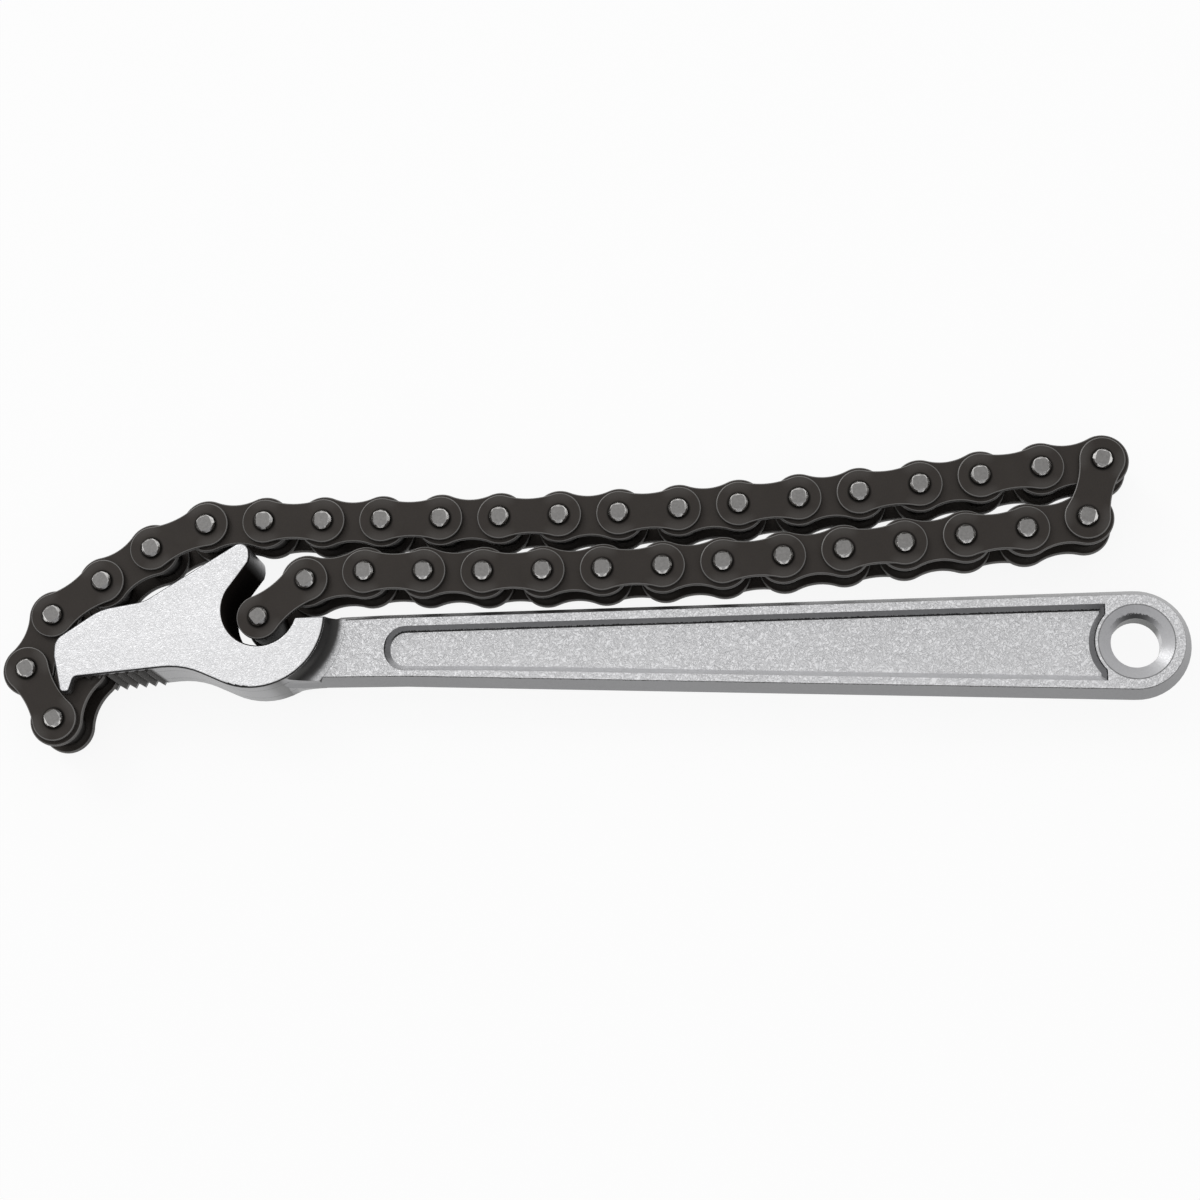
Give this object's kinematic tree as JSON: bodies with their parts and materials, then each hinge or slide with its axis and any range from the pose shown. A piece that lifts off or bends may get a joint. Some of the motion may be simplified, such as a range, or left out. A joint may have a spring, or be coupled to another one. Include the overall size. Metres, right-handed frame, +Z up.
{
  "type": "chain wrench",
  "caption": "Chain strap wrench for oil filters: forged steel handle with a hooked, toothed head and a long roller chain anchored in its nose, folded back and parked in the hook",
  "frame": {"origin": "centre of the bounding box on the surface that the wrench lies on, with the chain folded and parked in the hook", "axes": "+X along the handle towards the hanging hole, +Y from the handle to the parked chain, +Z up through the thickness, along every chain pin"},
  "size_m": [0.3134, 0.0776, 0.02],
  "materials": {
    "forged_steel": "forged, blasted and satin plated; smooth on its sides",
    "inner_link_steel": "dark oiled steel",
    "outer_plate_steel": "dark oiled steel with brighter rims",
    "bright_pin": "bright ground pin with staked ends"
  },
  "bodies": {
    "forging": {"forging": "forged_steel", "anchor_pin": "bright_pin"},
    "links_01_to_05": {"inner_link_01": "inner_link_steel", "outer_plates_02": "outer_plate_steel", "link_pins_02": "bright_pin", "inner_link_03": "inner_link_steel", "outer_plates_04": "outer_plate_steel", "link_pins_04": "bright_pin", "inner_link_05": "inner_link_steel"},
    "links_06_to_10": {"outer_plates_06": "outer_plate_steel", "link_pins_06": "bright_pin", "inner_link_07": "inner_link_steel", "outer_plates_08": "outer_plate_steel", "link_pins_08": "bright_pin", "inner_link_09": "inner_link_steel", "outer_plates_10": "outer_plate_steel", "link_pins_10": "bright_pin"},
    "links_11_to_15": {"inner_link_11": "inner_link_steel", "outer_plates_12": "outer_plate_steel", "link_pins_12": "bright_pin", "inner_link_13": "inner_link_steel", "outer_plates_14": "outer_plate_steel", "link_pins_14": "bright_pin", "inner_link_15": "inner_link_steel"},
    "links_16_to_21": {"outer_plates_16": "outer_plate_steel", "link_pins_16": "bright_pin", "inner_link_17": "inner_link_steel", "outer_plates_18": "outer_plate_steel", "link_pins_18": "bright_pin", "inner_link_19": "inner_link_steel", "outer_plates_20": "outer_plate_steel", "link_pins_20": "bright_pin", "inner_link_21": "inner_link_steel"},
    "links_22_to_27": {"outer_plates_22": "outer_plate_steel", "link_pins_22": "bright_pin", "inner_link_23": "inner_link_steel", "outer_plates_24": "outer_plate_steel", "link_pins_24": "bright_pin", "inner_link_25": "inner_link_steel", "outer_plates_26": "outer_plate_steel", "link_pins_26": "bright_pin", "inner_link_27": "inner_link_steel"},
    "links_28_to_32": {"outer_plates_28": "outer_plate_steel", "link_pins_28": "bright_pin", "inner_link_29": "inner_link_steel", "outer_plates_30": "outer_plate_steel", "link_pins_30": "bright_pin", "inner_link_31": "inner_link_steel", "outer_plates_32": "outer_plate_steel", "link_pins_32": "bright_pin"},
    "link_33": {"inner_link_33": "inner_link_steel"},
    "link_34": {"outer_plates_34": "outer_plate_steel", "link_pins_34": "bright_pin"},
    "link_35": {"inner_link_35": "inner_link_steel"},
    "link_36": {"outer_plates_36": "outer_plate_steel", "link_pins_36": "bright_pin"},
    "end_roller": {"end_roller": "inner_link_steel"}
  },
  "joints": [
    {"name": "hinge_01", "type": "hinge", "parent": "forging", "child": "links_01_to_05", "pos_m": [-0.13525, -0.0172, 0.01], "axis": [0, 0, 1], "range_deg": [-150, 40]},
    {"name": "hinge_06", "type": "hinge", "parent": "links_01_to_05", "child": "links_06_to_10", "pos_m": [-0.11691, 0.01415, 0.01], "axis": [0, 0, 1], "range_deg": [0, 100]},
    {"name": "hinge_11", "type": "hinge", "parent": "links_06_to_10", "child": "links_11_to_15", "pos_m": [-0.03881, 0.02049, 0.01], "axis": [0, 0, 1], "range_deg": [-126, 126]},
    {"name": "hinge_16", "type": "hinge", "parent": "links_11_to_15", "child": "links_16_to_21", "pos_m": [0.04052, 0.02243, 0.01], "axis": [0, 0, 1], "range_deg": [-126.5, 125.5]},
    {"name": "hinge_22", "type": "hinge", "parent": "links_16_to_21", "child": "links_22_to_27", "pos_m": [0.13529, 0.03183, 0.01], "axis": [0, 0, 1], "range_deg": [-14, 238]},
    {"name": "hinge_28", "type": "hinge", "parent": "links_22_to_27", "child": "links_28_to_32", "pos_m": [0.05205, 0.008, 0.01], "axis": [0, 0, 1], "range_deg": [-125, 127]},
    {"name": "hinge_33", "type": "hinge", "parent": "links_28_to_32", "child": "link_33", "pos_m": [-0.02727, 0.00579, 0.01], "axis": [0, 0, 1], "range_deg": [-125, 127]},
    {"name": "hinge_34", "type": "hinge", "parent": "link_33", "child": "link_34", "pos_m": [-0.04313, 0.0062, 0.01], "axis": [0, 0, 1], "range_deg": [-126.5, 125.5]},
    {"name": "hinge_35", "type": "hinge", "parent": "link_34", "child": "link_35", "pos_m": [-0.05901, 0.00648, 0.01], "axis": [0, 0, 1], "range_deg": [-134, 118]},
    {"name": "hinge_36", "type": "hinge", "parent": "link_35", "child": "link_36", "pos_m": [-0.07476, 0.00455, 0.01], "axis": [0, 0, 1], "range_deg": [-157.5, 94.5]},
    {"name": "end_roller_spin", "type": "hinge", "parent": "link_36", "child": "end_roller", "pos_m": [-0.08719, -0.00534, 0.01], "axis": [0, 0, 1], "continuous": true}
  ],
  "couplings": [
    {"joint": "hinge_01", "follows": "hinge_06", "ratio": -0.02},
    {"joint": "hinge_11", "follows": "hinge_06", "ratio": 0.06},
    {"joint": "hinge_16", "follows": "hinge_06", "ratio": 0.06},
    {"joint": "hinge_22", "follows": "hinge_06", "ratio": 0.04},
    {"joint": "hinge_28", "follows": "hinge_06", "ratio": -0.05},
    {"joint": "hinge_33", "follows": "hinge_06", "ratio": -0.04},
    {"joint": "hinge_34", "follows": "hinge_06", "ratio": -0.04},
    {"joint": "hinge_35", "follows": "hinge_06", "ratio": -0.04},
    {"joint": "hinge_36", "follows": "hinge_06", "ratio": -0.04}
  ]
}
